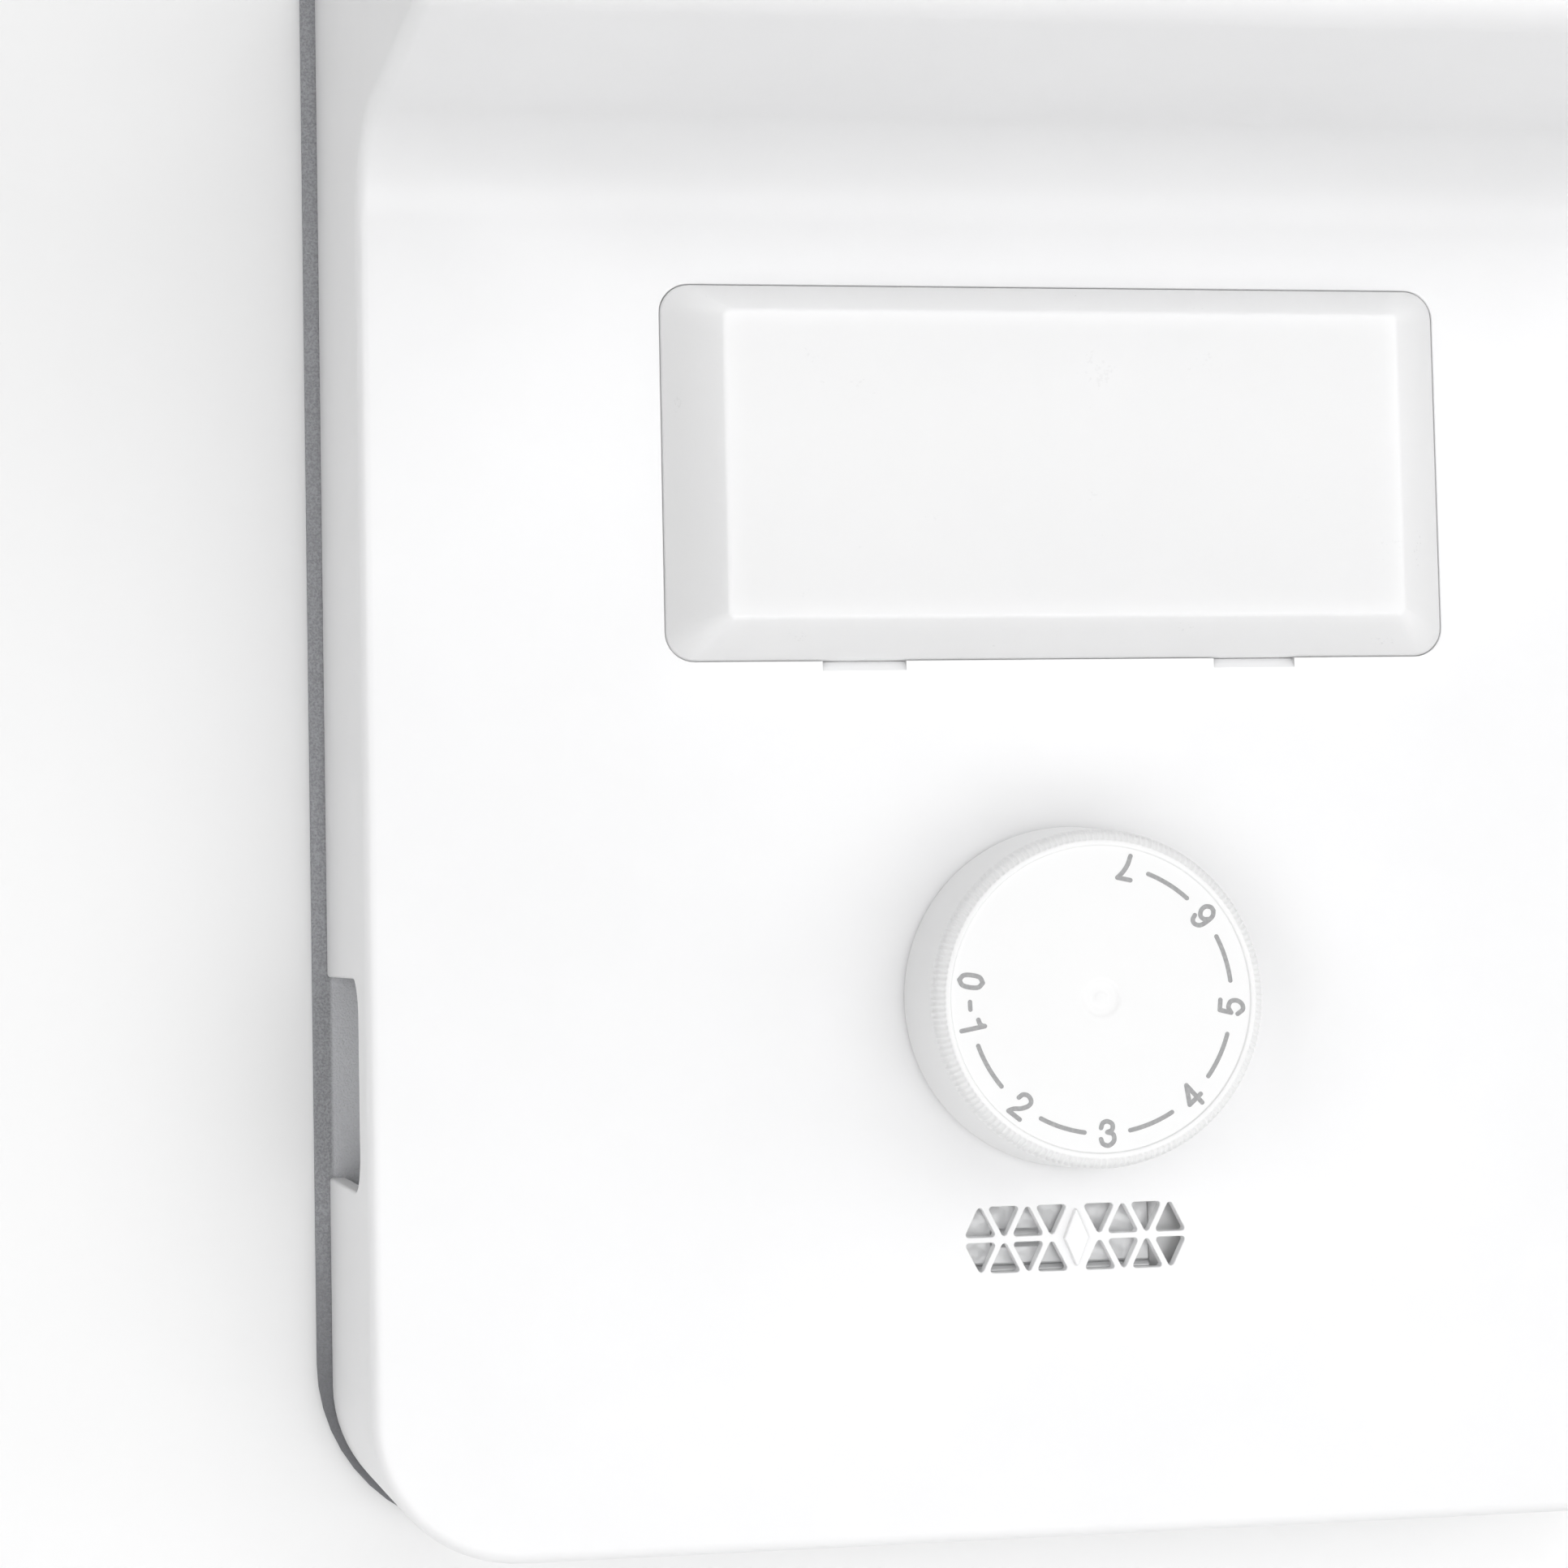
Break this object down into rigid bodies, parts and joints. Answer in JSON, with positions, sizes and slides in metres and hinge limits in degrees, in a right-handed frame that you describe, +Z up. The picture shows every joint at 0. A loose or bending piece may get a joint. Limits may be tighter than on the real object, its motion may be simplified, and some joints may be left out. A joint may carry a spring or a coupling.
{
  "type": "refrigerator thermostat cover",
  "caption": "Moulded refrigerator control cover with a numbered temperature knob, hinged milky lamp cover, sensor grille, side air outlets and forward overhang.",
  "frame": {"origin": "on the rear plane that lies against the wall, straight behind the knob's axis", "axes": "+Y out of the back into the wall, the front faces -Y, +Z up, +X to the right seen from the front"},
  "size_m": [0.232, 0.107, 0.2576],
  "materials": {
    "cover_plastic": "fine satin moulded plastic",
    "lens_plastic": "milky translucent plastic, satin",
    "tray_plastic": "cream moulded plastic",
    "black_plastic": "black moulded phenolic",
    "white_foam": "expanded polystyrene beads",
    "grey_foam": "soft closed-cell foam",
    "zinc_steel": "zinc-plated sheet steel",
    "spring_steel": "drawn spring steel",
    "brass": "turned brass",
    "copper": "drawn copper",
    "foil": "crinkled foil",
    "bulb_glass": "clear glass",
    "lead_brown": "brown lead insulation",
    "lead_black": "black lead insulation",
    "lead_blue": "blue lead insulation",
    "lead_white": "white lead insulation"
  },
  "bodies": {
    "root": {"front_cover": "cover_plastic", "rear_gasket": "grey_foam", "back_panel": "white_foam", "air_duct_left": "white_foam", "air_duct_right": "white_foam", "lamp_tray": "tray_plastic", "lamp_holder": "tray_plastic", "bulb_cap": "brass", "bulb_glass": "bulb_glass", "thermostat_frame": "zinc_steel", "range_screw": "brass", "bellows_capsule": "brass", "capillary_tube": "copper", "capillary_clip_left": "tray_plastic", "capillary_clip_right": "tray_plastic", "switch_housing": "black_plastic", "terminal_supply": "brass", "terminal_load": "brass", "earth_tab": "zinc_steel", "thermostat_screw_left": "zinc_steel", "thermostat_screw_right": "zinc_steel", "fixing_screw_left": "zinc_steel", "fixing_screw_right": "zinc_steel", "sensor_shield": "foil", "harness_plug": "tray_plastic", "lead_supply": "lead_brown", "lead_load": "lead_black", "lead_lamp_live": "lead_white", "lead_lamp_neutral": "lead_blue"},
    "control": {"control_knob": "cover_plastic", "knob_spring_clip": "spring_steel", "thermostat_shaft": "zinc_steel", "range_cam": "brass"},
    "lens": {"lamp_cover": "lens_plastic"},
    "range_arm": {"range_lever": "zinc_steel"},
    "main_arm": {"main_lever": "zinc_steel", "range_spring": "spring_steel"},
    "contact_arm": {"contact_blade": "brass"}
  },
  "joints": [
    {"name": "knob_turn", "type": "hinge", "parent": "root", "child": "control", "pos_m": [0, -0.05, 0], "axis": [0, -1, 0], "range_deg": [-168, 98]},
    {"name": "lamp_cover_swing", "type": "hinge", "parent": "root", "child": "lens", "pos_m": [0, -0.045, 0.1102], "axis": [-1, 0, 0], "range_deg": [0, 45]},
    {"name": "range_lever_tilt", "type": "hinge", "parent": "root", "child": "range_arm", "pos_m": [0, -0.031, 0.013], "axis": [1, 0, 0], "range_deg": [-3, 5.1]},
    {"name": "main_lever_tilt", "type": "hinge", "parent": "root", "child": "main_arm", "pos_m": [0, -0.0178, 0.013], "axis": [-1, 0, 0], "range_deg": [0, 3]},
    {"name": "contact_flick", "type": "hinge", "parent": "root", "child": "contact_arm", "pos_m": [0, -0.0241, -0.0223], "axis": [-1, 0, 0], "range_deg": [0, 4]}
  ],
  "couplings": [
    {"joint": "range_lever_tilt", "follows": "knob_turn", "ratio": -0.0297}
  ]
}
